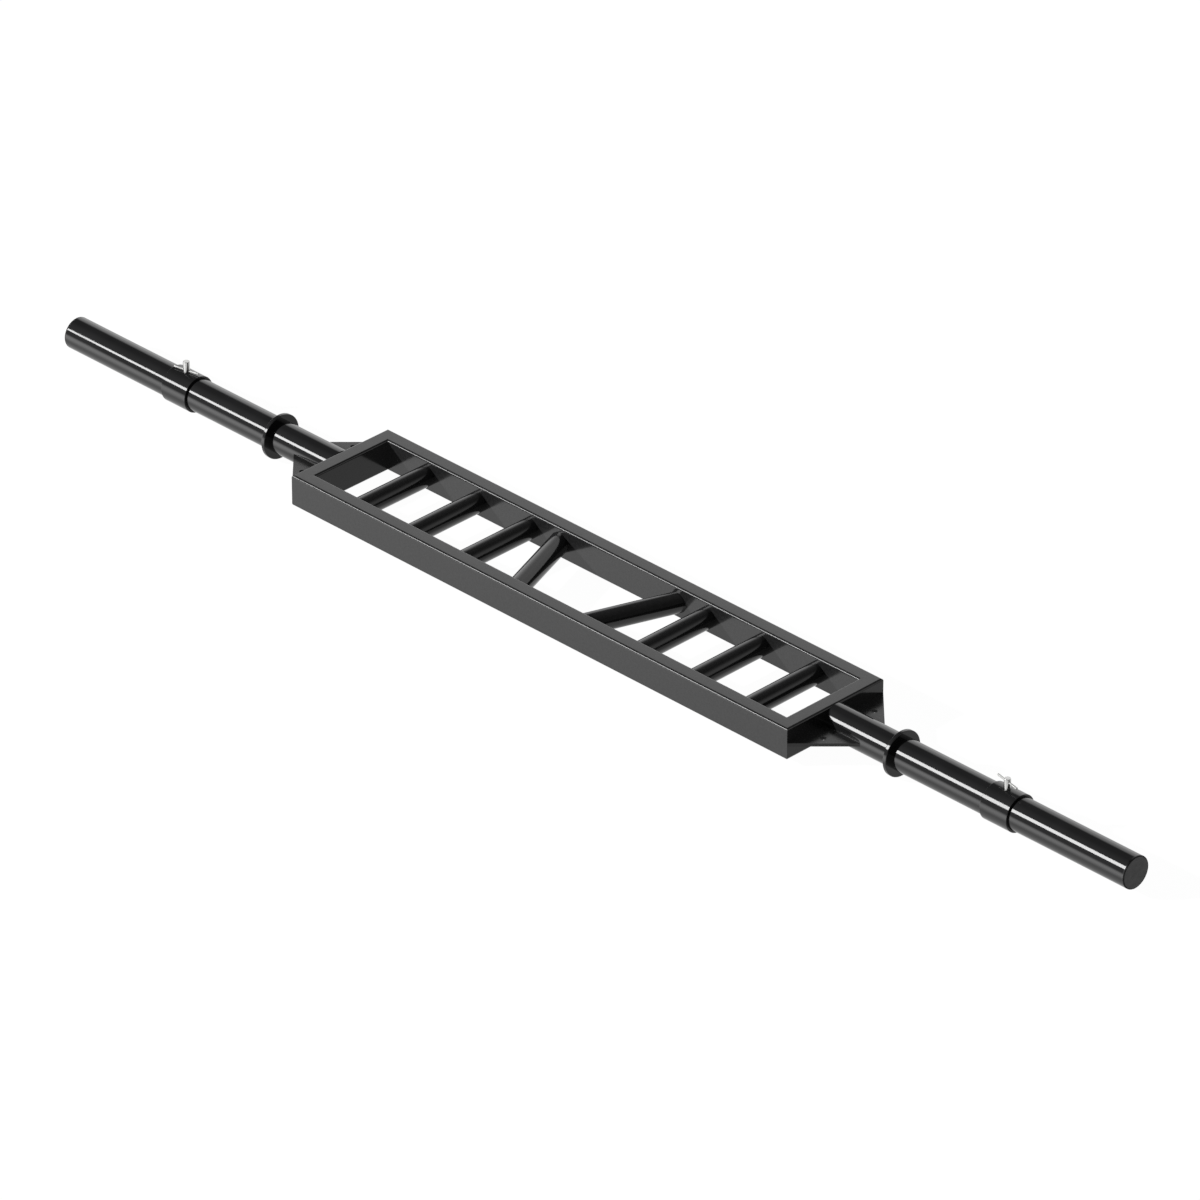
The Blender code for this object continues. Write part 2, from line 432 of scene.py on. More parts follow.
def drilled(mesh, radius, low_end, high_end, steps, place):
    """The mesh with a round hole in it, between two heights along the Z of its place."""
    profile = [(radius, high_end), (radius, low_end)]
    drill = skin("drill", turned_rows(profile, steps, place), hollow=False)
    holder = bpy.data.objects.new("drilling", mesh)
    cutter = bpy.data.objects.new("drill", drill)
    for made in (holder, cutter):
        bpy.context.scene.collection.objects.link(made)
    boolean = holder.modifiers.new("drill", "BOOLEAN")
    boolean.operation = "DIFFERENCE"
    boolean.solver = "EXACT"
    boolean.object = cutter
    graph = bpy.context.evaluated_depsgraph_get()
    result = bpy.data.meshes.new_from_object(holder.evaluated_get(graph))
    result.name = mesh.name
    bpy.data.objects.remove(holder)
    bpy.data.objects.remove(cutter)
    return result


def finish_node(node, mesh, material):
    """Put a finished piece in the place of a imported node, on the same body."""
    mesh.materials.clear()
    mesh.materials.append(material)
    mesh.shade_smooth()
    mesh.set_sharp_from_angle(angle=SMOOTH_ANGLE)
    piece = bpy.data.objects.new(node + "_finished", mesh)
    bpy.context.scene.collection.objects.link(piece)
    weighted = piece.modifiers.new("even_normals", "WEIGHTED_NORMAL")
    weighted.keep_sharp = True
    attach(piece, BODY_OF[node])
    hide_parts(node)


# Materials

# The shader's own specular level, for finishes that need no other
PLAIN_SPECULAR = 0.5

# Where nodes are laid out in the node editor
NODE_COLUMN = 220
NODE_ROW = -260
NODES_IN_ROW = 8

# A Mix node has a pair of inputs for each type of value; these are its colours
MIX_DARK = 6
MIX_LIGHT = 7
MIX_COLOUR = 2

# Grain: the coarse one's size and height as shares of the fine one's
COARSE_GRAIN_SIZE = 2.6
COARSE_GRAIN_HEIGHT = 0.5

# Orange peel: the sizes of its dust and haze and the dust's height, as shares of the ripples'
DUST_SIZE = 0.25
DUST_HEIGHT = 0.12
HAZE_SIZE = 12.0

# Metal: the smudges' size as a share of the turning marks', and their shade
SMUDGE_SIZE = 10.0
SMUDGE_SHADE = 0.93
METAL_MARK_SIZE = 0.0006
METAL_MARK_HEIGHT = 0.000004

# Powder coat: patches in metres, and how far its shade and roughness vary about the middle
POWDER_PATCH_SIZE = 0.07
POWDER_SHADES = (0.8, 1.2)
POWDER_ROUGHNESS_SPREAD = 0.015

# Enamel: the shade of its haze, and how far the roughness goes below and above the middle
ENAMEL_HAZE_SHADE = 1.25
ENAMEL_ROUGHNESS_BELOW = 0.01
ENAMEL_ROUGHNESS_ABOVE = 0.015

# Cap plastic: grain and patches in metres, shades of its speckle, and its roughest patch
PLASTIC_GRAIN_SIZE = 0.0028
PLASTIC_GRAIN_HEIGHT = 0.00004
PLASTIC_PATCH_SIZE = 0.012
PLASTIC_SHADES = (0.1, 2.6)
PLASTIC_ROUGHEST = 1.2


class Sheet:
    """Adds nodes to a tree and wires them, so that each line of a material reads as one step."""

    def __init__(self, tree):
        self.tree = tree
        self.made = 0

    def add(self, kind, **settings):
        node = self.tree.nodes.new(kind)
        for setting, value in settings.items():
            setattr(node, setting, value)
        row, column = divmod(self.made, NODES_IN_ROW)
        node.location = (NODE_COLUMN * column, NODE_ROW * row)
        self.made += 1
        return node

    def feed(self, socket, value):
        if isinstance(value, bpy.types.NodeSocket):
            self.tree.links.new(value, socket)
        else:
            socket.default_value = value

    def math(self, operation, first, second):
        node = self.add("ShaderNodeMath", operation=operation)
        self.feed(node.inputs[0], first)
        self.feed(node.inputs[1], second)
        return node.outputs[0]

    def ramp(self, value, start, end, low_value=0.0, high_value=1.0):
        """A smooth step from one value to another."""
        node = self.add("ShaderNodeMapRange", interpolation_type="SMOOTHSTEP")
        self.feed(node.inputs["Value"], value)
        node.inputs["From Min"].default_value = start
        node.inputs["From Max"].default_value = end
        node.inputs["To Min"].default_value = low_value
        node.inputs["To Max"].default_value = high_value
        return node.outputs["Result"]

    def towards(self, vector, direction):
        """How far a direction points towards another."""
        node = self.add("ShaderNodeVectorMath", operation="DOT_PRODUCT")
        self.feed(node.inputs[0], vector)
        node.inputs[1].default_value = direction
        return node.outputs["Value"]

    def noise(self, vector, size, detail):
        """Noise with grains of a size in metres."""
        node = self.add("ShaderNodeTexNoise", noise_dimensions="3D")
        self.feed(node.inputs["Vector"], vector)
        self.feed(node.inputs["Scale"], self.math("DIVIDE", 1.0, size))
        node.inputs["Detail"].default_value = detail
        return node.outputs["Fac"]


def new_group(name, inputs, outputs):
    """An empty shader group with named number inputs, each with its default, and named outputs."""
    group = bpy.data.node_groups.new(name, "ShaderNodeTree")
    group.interface.new_socket("Coordinates", in_out="INPUT", socket_type="NodeSocketVector")
    for socket, default in inputs.items():
        made = group.interface.new_socket(socket, in_out="INPUT", socket_type="NodeSocketFloat")
        made.default_value = default
    for socket in outputs:
        group.interface.new_socket(socket, in_out="OUTPUT", socket_type="NodeSocketFloat")
    sheet = Sheet(group)
    return group, sheet, sheet.add("NodeGroupInput").outputs, sheet.add("NodeGroupOutput").inputs


def grain_group():
    """Fine grain of a powder coat or moulded plastic, with slow unevenness over a hand's width."""
    name = "surface_grain"
    if name in bpy.data.node_groups:
        return bpy.data.node_groups[name]
    sizes = {"Grain Size": 0.0016, "Patch Size": 0.06}
    group, sheet, given, out = new_group(name, sizes, ["Height", "Mottle", "Patches"])
    fine = sheet.noise(given["Coordinates"], given["Grain Size"], detail=3)
    coarse_size = sheet.math("MULTIPLY", given["Grain Size"], COARSE_GRAIN_SIZE)
    coarse = sheet.noise(given["Coordinates"], coarse_size, detail=2)
    patches = sheet.noise(given["Coordinates"], given["Patch Size"], detail=3)
    coarse_height = sheet.math("MULTIPLY", coarse, COARSE_GRAIN_HEIGHT)
    sheet.feed(out["Height"], sheet.math("ADD", fine, coarse_height))
    sheet.feed(out["Mottle"], sheet.ramp(coarse, start=0.3, end=0.7))
    sheet.feed(out["Patches"], sheet.ramp(patches, start=0.3, end=0.7))
    return group


def peel_group():
    """Orange peel of a gloss enamel: shallow ripples, and haze where the gloss is a little less."""
    name = "orange_peel"
    if name in bpy.data.node_groups:
        return bpy.data.node_groups[name]
    group, sheet, given, out = new_group(name, {"Peel Size": 0.0035}, ["Height", "Haze"])
    ripples = sheet.noise(given["Coordinates"], given["Peel Size"], detail=1)
    dust_size = sheet.math("MULTIPLY", given["Peel Size"], DUST_SIZE)
    dust = sheet.noise(given["Coordinates"], dust_size, detail=2)
    haze_size = sheet.math("MULTIPLY", given["Peel Size"], HAZE_SIZE)
    haze = sheet.noise(given["Coordinates"], haze_size, detail=3)
    dust_height = sheet.math("MULTIPLY", dust, DUST_HEIGHT)
    sheet.feed(out["Height"], sheet.math("ADD", ripples, dust_height))
    sheet.feed(out["Haze"], sheet.ramp(haze, start=0.35, end=0.75))
    return group


def plating_group():
    """Bright plating or turned metal: faint smudges and fine turning marks."""
    name = "metal_marks"
    if name in bpy.data.node_groups:
        return bpy.data.node_groups[name]
    sizes = {"Mark Size": METAL_MARK_SIZE}
    group, sheet, given, out = new_group(name, sizes, ["Height", "Smudges"])
    smudge_size = sheet.math("MULTIPLY", given["Mark Size"], SMUDGE_SIZE)
    smudges = sheet.noise(given["Coordinates"], smudge_size, detail=3)
    sheet.feed(out["Height"], sheet.noise(given["Coordinates"], given["Mark Size"], detail=2))
    sheet.feed(out["Smudges"], sheet.ramp(smudges, start=0.35, end=0.7))
    return group


def new_material(name, group, sizes, specular=PLAIN_SPECULAR):
    """A material with a Principled BSDF and one group that reads the piece's own coordinates."""
    material = bpy.data.materials.new(name)
    material.use_nodes = True
    sheet = Sheet(material.node_tree)
    shader = material.node_tree.nodes["Principled BSDF"]
    shader.inputs["Specular IOR Level"].default_value = specular
    effect = sheet.add("ShaderNodeGroup")
    effect.node_tree = group
    sheet.feed(effect.inputs["Coordinates"], sheet.add("ShaderNodeTexCoord").outputs["Object"])
    for socket, size in sizes.items():
        effect.inputs[socket].default_value = size
    return material, sheet, shader, effect.outputs


def shade(sheet, mask, dark, light):
    """A colour between two shades, by a mask."""
    mix = sheet.add("ShaderNodeMix", data_type="RGBA")
    sheet.feed(mix.inputs["Factor"], mask)
    mix.inputs[MIX_DARK].default_value = (*dark, 1)
    mix.inputs[MIX_LIGHT].default_value = (*light, 1)
    return mix.outputs[MIX_COLOUR]


def relief(sheet, shader, height, distance):
    """Bump of a real depth in metres."""
    bump = sheet.add("ShaderNodeBump")
    bump.inputs["Distance"].default_value = distance
    sheet.feed(bump.inputs["Height"], height)
    sheet.feed(shader.inputs["Normal"], bump.outputs["Normal"])


def scaled(colour, factor):
    return [channel * factor for channel in colour]


def powder_coat(name, lightness=1.0, roughness_shift=0.0, specular=PLAIN_SPECULAR):
    """Satin black powder coat."""
    settings = bpy.context.scene.swiss_bar_frame
    sizes = {"Grain Size": settings.grain_size, "Patch Size": POWDER_PATCH_SIZE}
    material, sheet, shader, effect = new_material(name, grain_group(), sizes, specular)
    colour = scaled(settings.paint_colour, lightness)
    dark, light = (scaled(colour, factor) for factor in POWDER_SHADES)
    sheet.feed(shader.inputs["Base Color"], shade(sheet, effect["Mottle"], dark, light))
    middle_roughness = settings.paint_roughness + roughness_shift
    smoothest = middle_roughness - POWDER_ROUGHNESS_SPREAD
    roughest = middle_roughness + POWDER_ROUGHNESS_SPREAD
    sheet.feed(shader.inputs["Roughness"], sheet.ramp(effect["Patches"], 0, 1, smoothest, roughest))
    relief(sheet, shader, effect["Height"], settings.grain_height)
    return material


def gloss_enamel(name, specular=PLAIN_SPECULAR):
    """Gloss black enamel with orange peel."""
    settings = bpy.context.scene.swiss_bar_sleeves
    sizes = {"Peel Size": settings.peel_size}
    material, sheet, shader, effect = new_material(name, peel_group(), sizes, specular)
    colour = settings.enamel_colour
    haze_colour = scaled(colour, ENAMEL_HAZE_SHADE)
    sheet.feed(shader.inputs["Base Color"], shade(sheet, effect["Haze"], colour, haze_colour))
    clear = settings.enamel_roughness - ENAMEL_ROUGHNESS_BELOW
    hazy = settings.enamel_roughness + ENAMEL_ROUGHNESS_ABOVE
    sheet.feed(shader.inputs["Roughness"], sheet.ramp(effect["Haze"], 0, 1, clear, hazy))
    relief(sheet, shader, effect["Height"], settings.peel_height)
    return material


def moulded_plastic(name, lightness, roughness, specular=PLAIN_SPECULAR):
    """Black moulded plastic with a fine speckle."""
    sizes = {"Grain Size": PLASTIC_GRAIN_SIZE, "Patch Size": PLASTIC_PATCH_SIZE}
    material, sheet, shader, effect = new_material(name, grain_group(), sizes, specular)
    colour = scaled(bpy.context.scene.swiss_bar_sleeves.cap_colour, lightness)
    dark, light = (scaled(colour, factor) for factor in PLASTIC_SHADES)
    sheet.feed(shader.inputs["Base Color"], shade(sheet, effect["Mottle"], dark, light))
    roughest = roughness * PLASTIC_ROUGHEST
    sheet.feed(shader.inputs["Roughness"], sheet.ramp(effect["Patches"], 0, 1, roughness, roughest))
    relief(sheet, shader, effect["Height"], PLASTIC_GRAIN_HEIGHT)
    return material


def turned_metal(name, colour, dull, bright, metallic=1.0):
    """Plated steel or brass, with a roughness between two values."""
    sizes = {"Mark Size": METAL_MARK_SIZE}
    material, sheet, shader, effect = new_material(name, plating_group(), sizes)
    smudged = scaled(colour, SMUDGE_SHADE)
    sheet.feed(shader.inputs["Base Color"], shade(sheet, effect["Smudges"], smudged, colour))
    shader.inputs["Metallic"].default_value = metallic
    sheet.feed(shader.inputs["Roughness"], sheet.ramp(effect["Smudges"], 0, 1, dull, bright))
    relief(sheet, shader, effect["Height"], METAL_MARK_HEIGHT)
    return material


# Pieces


def rail_outline(corner, inset, steps):
    """(depth, height) points round a rail's section; depth runs from the outer face to the bay."""
    points = []
    half_depth = RAIL_DEPTH / 2 - inset
    half_height = (RAIL_TOP - RAIL_FOOT) / 2 - inset
    for quarter in range(4):
        depth_side = 1 if quarter in (0, 3) else -1
        height_side = 1 if quarter in (0, 1) else -1
        for step in range(steps + 1):
            angle = math.pi / 2 * (quarter + step / steps)
            depth = depth_side * (half_depth - corner) + corner * math.cos(angle)
            height = height_side * (half_height - corner) + corner * math.sin(angle)
            points.append((RAIL_DEPTH / 2 + depth, AXIS_HEIGHT + height))
    return points


def rail_mesh(node, settings, half_length, place):
    """A tube cut at 45 degrees at both ends, so that it meets its neighbours along the mitres."""
    outer = rail_outline(settings.corner_radius, 0, settings.corner_steps)
    inner_corner = settings.corner_radius - settings.rail_wall
    inner = rail_outline(inner_corner, settings.rail_wall, settings.corner_steps)
    rows = []
    for outline, end in ((outer, -1), (outer, 1), (inner, 1), (inner, -1)):
        rows.append([place(end * (half_length - depth), depth, height) for depth, height in outline])
    return skin(node, rows, hollow=True)


class SWISS_BAR_OT_add_rails(Operator):
    """Build the four rails of the frame, mitred at their corners"""

    bl_idname = "swiss_bar.add_rails"
    bl_label = "Add Rails"

    def execute(self, context):
        settings = context.scene.swiss_bar_frame
        paint = powder_coat("frame_powder_coat")
        places = {
            "front_rail": (FRAME_END, lambda along, depth, height: (along, depth - FRAME_SIDE, height)),
            "back_rail": (FRAME_END, lambda along, depth, height: (along, FRAME_SIDE - depth, height)),
            "left_end_rail": (FRAME_SIDE, lambda along, depth, height: (depth - FRAME_END, along, height)),
            "right_end_rail": (FRAME_SIDE, lambda along, depth, height: (FRAME_END - depth, along, height)),
        }
        for node, (half_length, place) in places.items():
            finish_node(node, rail_mesh(node, settings, half_length, place), paint)
        return {"FINISHED"}


def grip_row(radius, x, turn, end, steps):
    """One end of a grip tube, trimmed flat to the rail that it meets."""
    reach = end * BAY_SIDE
    row = []
    for step in range(steps):
        angle = math.tau * step / steps
        across = radius * math.cos(angle) / math.cos(turn)
        row.append((x + across + reach * math.tan(turn), reach, AXIS_HEIGHT + radius * math.sin(angle)))
    return row


class SWISS_BAR_OT_add_grips(Operator):
    """Build the eight cross grips between the rails"""

    bl_idname = "swiss_bar.add_grips"
    bl_label = "Add Grips"

    def execute(self, context):
        settings = context.scene.swiss_bar_frame
        paint = powder_coat("grip_powder_coat", lightness=0.85)
        bore = GRIP_RADIUS - settings.grip_wall
        for side, sign in SIDES.items():
            for place in GRIP_PLACES:
                node = side + "_" + place + "_grip"
                turn = sign * ANGLED_GRIP_TURN if place == "angled" else 0.0
                ends = ((GRIP_RADIUS, -1), (GRIP_RADIUS, 1), (bore, 1), (bore, -1))
                x = middle(node, X)
                rows = [grip_row(radius, x, turn, end, settings.grip_steps) for radius, end in ends]
                finish_node(node, skin(node, rows, hollow=True), paint)
        return {"FINISHED"}


class SWISS_BAR_OT_add_gussets(Operator):
    """Build the four gusset plates with their holes"""

    bl_idname = "swiss_bar.add_gussets"
    bl_label = "Add Gussets"

    def execute(self, context):
        paint = powder_coat("gusset_powder_coat", roughness_shift=0.085, specular=0.44)
        # The hole walls get a copy of the paint at 0.7 of its colour, rougher and with less gloss: painted
        # shade inside the holes
        hole_painted_shade = powder_coat("gusset_hole_wall_painted_shade", lightness=0.7, roughness_shift=0.35, specular=0.3)
        for side, sign in SIDES.items():
            for end, end_sign in ENDS.items():
                node = side + "_" + end + "_gusset"
                root = sign * FRAME_END
                tip = (high if sign > 0 else low)(node, X)
                at_sleeve = end_sign * (SLEEVE_RADIUS - TOUCH)
                corners = [(root, at_sleeve), (tip, at_sleeve), (root, end_sign * FRAME_SIDE)]
                levels = (low(node, Z), high(node, Z))
                mesh = skin(node, [[(x, y, z) for x, y in corners] for z in levels], hollow=False)
                hole_x = root + sign * GUSSET_HOLE_INSET
                hole_y = end_sign * (SLEEVE_RADIUS + GUSSET_HOLE_INSET)
                reach = extent(node, Z) / 2 + CUT_MARGIN
                place = Matrix.Translation((hole_x, hole_y, middle(node, Z)))
                plate = drilled(mesh, GUSSET_HOLE_RADIUS, -reach, reach, GUSSET_HOLE_STEPS, place)
                finish_node(node, plate, paint)
                plate.materials.append(hole_painted_shade)
                # Upright faces round each hole take that darker copy, the painted shade inside the hole
                for face in plate.polygons:
                    from_hole = math.hypot(face.center.x - hole_x, face.center.y - hole_y)
                    upright = abs(face.normal.z) < 0.5
                    face.material_index = int(upright and from_hole < GUSSET_HOLE_RADIUS + TOUCH)
        return {"FINISHED"}


class SWISS_BAR_OT_add_sleeves(Operator):
    """Build the plate sleeves and the caps that close them"""

    bl_idname = "swiss_bar.add_sleeves"
    bl_label = "Add Sleeves"

    def execute(self, context):
        settings = context.scene.swiss_bar_sleeves
        enamel = gloss_enamel("sleeve_enamel")
        plastic = moulded_plastic("cap_satin_plastic", lightness=1.0, roughness=0.085)
        # The cap's rounded rim gets plastic at a fifth of the cap's colour: painted shade along the rim,
        # also matt with weak gloss
        rim_painted_shade = moulded_plastic("cap_rim_matt_painted_shade", lightness=0.2, roughness=0.6, specular=0.22)
        bore = SLEEVE_RADIUS - settings.sleeve_wall
        plug = bore - CAP_PLUG_PLAY
        plug_end = low("right_sleeve_cap", X)
        seat = BAR_END - CAP_SEAT
        for side, sign in SIDES.items():
            tube = [(bore, seat), (SLEEVE_RADIUS, seat), (SLEEVE_RADIUS, FRAME_END), (bore, FRAME_END)]
            node = side + "_sleeve"
            rows = turned_rows(tube, settings.round_steps, outward(sign))
            finish_node(node, skin(node, rows, hollow=True), enamel)
            arc = edge_arc(SLEEVE_RADIUS - CAP_EDGE, 0, CAP_EDGE, math.pi / 2)
            cap = [(SLEEVE_RADIUS - CAP_RIM, BAR_END)]
            cap += [(r, BAR_END - CAP_EDGE_DEPTH * (1 - rise / CAP_EDGE)) for r, rise in arc]
            cap += [(SLEEVE_RADIUS, seat), (plug, seat), (plug, plug_end)]
            node = side + "_sleeve_cap"
            rows = turned_rows(cap, settings.round_steps, outward(sign))
            mesh = skin(node, rows, hollow=False)
            finish_node(node, mesh, plastic)
            mesh.materials.append(rim_painted_shade)
            # Faces on the rounded rim take the dark copy, the painted shade round the cap's edge
            for face in mesh.polygons:
                reach = math.hypot(face.center.y, face.center.z - AXIS_HEIGHT)
                on_edge = abs(face.center.x) > BAR_END - CAP_EDGE_DEPTH
                face.material_index = int(on_edge and reach > SLEEVE_RADIUS - CAP_RIM)
        return {"FINISHED"}


class SWISS_BAR_OT_add_stop_rings(Operator):
    """Build the stop rings that the plates rest against"""

    bl_idname = "swiss_bar.add_stop_rings"
    bl_label = "Add Stop Rings"

    def execute(self, context):
        steps = context.scene.swiss_bar_sleeves.round_steps
        enamel = gloss_enamel("stop_ring_enamel")
        start = low("right_stop_ring", X)
        face = high("right_stop_ring", X)
        profile = ring_profile(SLEEVE_RADIUS, STOP_RADIUS, start, face, STOP_EDGE)
        for side, sign in SIDES.items():
            node = side + "_stop_ring"
            finish_node(node, skin(node, turned_rows(profile, steps, outward(sign)), hollow=True), enamel)
        return {"FINISHED"}


class SWISS_BAR_OT_add_collars(Operator):
    """Build the sliding collars, drilled for their clamp screws"""

    bl_idname = "swiss_bar.add_collars"
    bl_label = "Add Collars"

    def execute(self, context):
        steps = context.scene.swiss_bar_sleeves.round_steps
        enamel = gloss_enamel("collar_enamel", specular=0.48)
        hole_radius = SCREW_RADIUS + SCREW_HOLE_PLAY
        for side, sign in SIDES.items():
            node = side + "_collar"
            half = extent(node, X) / 2
            profile = ring_profile(SLEEVE_RADIUS + COLLAR_PLAY, COLLAR_RADIUS, -half, half, COLLAR_EDGE)
            x = middle(node, X)
            mesh = skin(node, turned_rows(profile, steps, outward(sign, x)), hollow=True)
            place = Matrix.Translation((x, 0, AXIS_HEIGHT))
            top = COLLAR_RADIUS + CUT_MARGIN
            mesh = drilled(mesh, hole_radius, 0, top, COLLAR_HOLE_STEPS, place)
            finish_node(node, mesh, enamel)
        return {"FINISHED"}


class SWISS_BAR_OT_add_clamp_screws(Operator):
    """Build the clamp screws and the tommy bars that pass through them"""

    bl_idname = "swiss_bar.add_clamp_screws"
    bl_label = "Add Clamp Screws"

    def execute(self, context):
        settings = context.scene.swiss_bar_screws
        colour = settings.plating_colour
        plating = turned_metal("screw_bright_plating", colour, dull=0.22, bright=0.15)
        bar_plating = turned_metal("tommy_dull_plating", colour, dull=0.6, bright=0.52, metallic=0.8)
        steps = settings.small_steps
        hole_radius = TOMMY_RADIUS + SCREW_HOLE_PLAY
        reach = SCREW_RADIUS + CUT_MARGIN
        half = TOMMY_LENGTH / 2
        for side, turn in TOMMY_TURN.items():
            node = side + "_clamp_screw"
            x = middle(node, X)
            tip = low(node, Z)
            edge = settings.screw_edge
            profile = [(SCREW_RADIUS - edge, tip), (SCREW_RADIUS, tip + edge)]
            profile += edge_arc(SCREW_RADIUS - edge, high(node, Z) - edge, edge, math.pi / 2)[::-1]
            mesh = skin(node, turned_rows(profile, steps, Matrix.Translation((x, 0, 0))), hollow=False)
            bar_node = side + "_tommy_bar"
            place = Matrix.Translation((x, 0, middle(bar_node, Z)))
            place = place @ Matrix.Rotation(turn, 4, "Z") @ Matrix.Rotation(math.pi / 2, 4, "Y")
            finish_node(node, drilled(mesh, hole_radius, -reach, reach, steps, place), plating)
            edge = settings.tommy_edge
            bar = edge_arc(TOMMY_RADIUS - edge, half - edge, edge, math.pi / 2)
            bar += edge_arc(TOMMY_RADIUS - edge, edge - half, edge, 0)
            finish_node(bar_node, skin(bar_node, turned_rows(bar, steps, place), hollow=False), bar_plating)
        return {"FINISHED"}


class SWISS_BAR_OT_finish_pads(Operator):
    """Give the pressure pads under the clamp screws their turned brass"""

    bl_idname = "swiss_bar.finish_pads"
    bl_label = "Finish Pads"

    def execute(self, context):
        colour = context.scene.swiss_bar_screws.brass_colour
        brass = turned_metal("pad_turned_brass", colour, dull=0.38, bright=0.26)
        for side in SIDES:
            for slot in frame["nodes"][side + "_pressure_pad"].material_slots:
                slot.link = "OBJECT"
                slot.material = brass
        return {"FINISHED"}


# Stage

# Directions in the studio, seen from the bar
WALL_TOP_TILT = (0.05, -0.697, 0.717)
WALL_LEVEL_TILT = (-0.45, 0.0, -0.10)
FRONT_HAZE_SIDE = (-0.62, -0.72, 0.30)
FRONT_GLOW_SIDE = (-0.62, -0.79, 0.0)
DARK_SIDE = (0.80, 0.57, -0.18)

# Where each part of the studio begins and is full: by the rise of the direction for the horizon and
# the floor, and otherwise by how far it points that way
HORIZON_FADE = (-0.08, 0.05)
NEAR_FLOOR_FADE = (0.02, -0.2)
FAR_FLOOR_FADE = (-0.62, -0.24)
WALL_FADE = (0.1, -0.14)
FRONT_HAZE_FADE = (0.5, 1.0)
FRONT_GLOW_FADE = (0.35, 0.9)
DARK_FADE = (0.8, 1.0)

# How bright gloss and metal see each part, outside it and where it is full
WALL_LEVEL = 0.98
FRONT_HAZE_LEVELS = (0.1, 0.34)
FRONT_GLOW_LEVELS = (0.0, 1.78)
FLOOR_LEVELS = (0.85, 0.42)

# The floor as the camera sees it
FLOOR_WHITE = 1.05

# The lamps: heights over the front, leans to the left as a share, and the softbox's shape
KEY_HEIGHT = math.radians(34)
KEY_LEAN = 0.608
SOFTBOX_HEIGHT = math.radians(36.1)
SOFTBOX_LEAN = 0.54
SOFTBOX_DISTANCE = 20.0
SOFTBOX_HALF_WIDTH = math.radians(12.8)
SOFTBOX_HALF_HEIGHT = math.radians(7.5)
SOFTBOX_ROLL = math.radians(25)


def lamp_axes(lean, height):
    """Towards a lamp over the front, leaning to the left, and upwards on its face."""
    away = math.sqrt(1 - lean**2)
    towards_lamp = Vector((-lean, -away * math.cos(height), away * math.sin(height)))
    return towards_lamp, Vector((0, math.sin(height), math.cos(height)))


def studio_above(sheet, direction):
    """Dim ceiling, a straight pale wall behind, and a little haze in front round the softbox."""
    wall = sheet.ramp(sheet.towards(direction, WALL_TOP_TILT), *WALL_FADE)
    level = sheet.math("ADD", sheet.towards(direction, WALL_LEVEL_TILT), WALL_LEVEL)
    haze_side = sheet.towards(direction, FRONT_HAZE_SIDE)
    haze = sheet.ramp(haze_side, *FRONT_HAZE_FADE, *FRONT_HAZE_LEVELS)
    return sheet.math("ADD", sheet.math("MULTIPLY", wall, level), haze)


def studio_below(sheet, direction, height):
    """Pale floor, brightest in front where the key lamp stands."""
    near = sheet.ramp(height, *NEAR_FLOOR_FADE)
    far = sheet.ramp(height, *FAR_FLOOR_FADE)
    glow_side = sheet.towards(direction, FRONT_GLOW_SIDE)
    side = sheet.ramp(glow_side, *FRONT_GLOW_FADE, *FRONT_GLOW_LEVELS)
    glow = sheet.math("MULTIPLY", sheet.math("MULTIPLY", near, far), side)
    floor = sheet.ramp(sheet.towards(direction, DARK_SIDE), *DARK_FADE, *FLOOR_LEVELS)
    return sheet.math("ADD", glow, floor)


def build_world(settings):
    """White for the camera, an even fill for matt surfaces, and the studio for gloss and metal."""
    world = bpy.data.worlds.new("studio")
    world.use_nodes = True
    world.cycles.sampling_method = "NONE"
    sheet = Sheet(world.node_tree)
    direction = sheet.add("ShaderNodeTexCoord").outputs["Generated"]
    split = sheet.add("ShaderNodeSeparateXYZ")
    sheet.feed(split.inputs[0], direction)
    height = split.outputs["Z"]
    above = sheet.ramp(height, *HORIZON_FADE)
    below = sheet.math("SUBTRACT", 1.0, above)
    upper = sheet.math("MULTIPLY", above, studio_above(sheet, direction))
    lower = sheet.math("MULTIPLY", below, studio_below(sheet, direction, height))
    studio = sheet.math("ADD", upper, lower)
    rays = sheet.add("ShaderNodeLightPath").outputs
    gloss = sheet.math("MAXIMUM", rays["Is Glossy Ray"], rays["Is Transmission Ray"])
    seen = sheet.math("MAXIMUM", gloss, rays["Is Camera Ray"])
    fill = sheet.math("MULTIPLY", sheet.math("SUBTRACT", 1.0, seen), settings.fill_level)
    level = sheet.math("ADD", sheet.math("MULTIPLY", gloss, studio), rays["Is Camera Ray"])
    background = world.node_tree.nodes["Background"]
    background.inputs["Color"].default_value = (1, 1, 1, 1)
    sheet.feed(background.inputs["Strength"], sheet.math("ADD", level, fill))
    return world


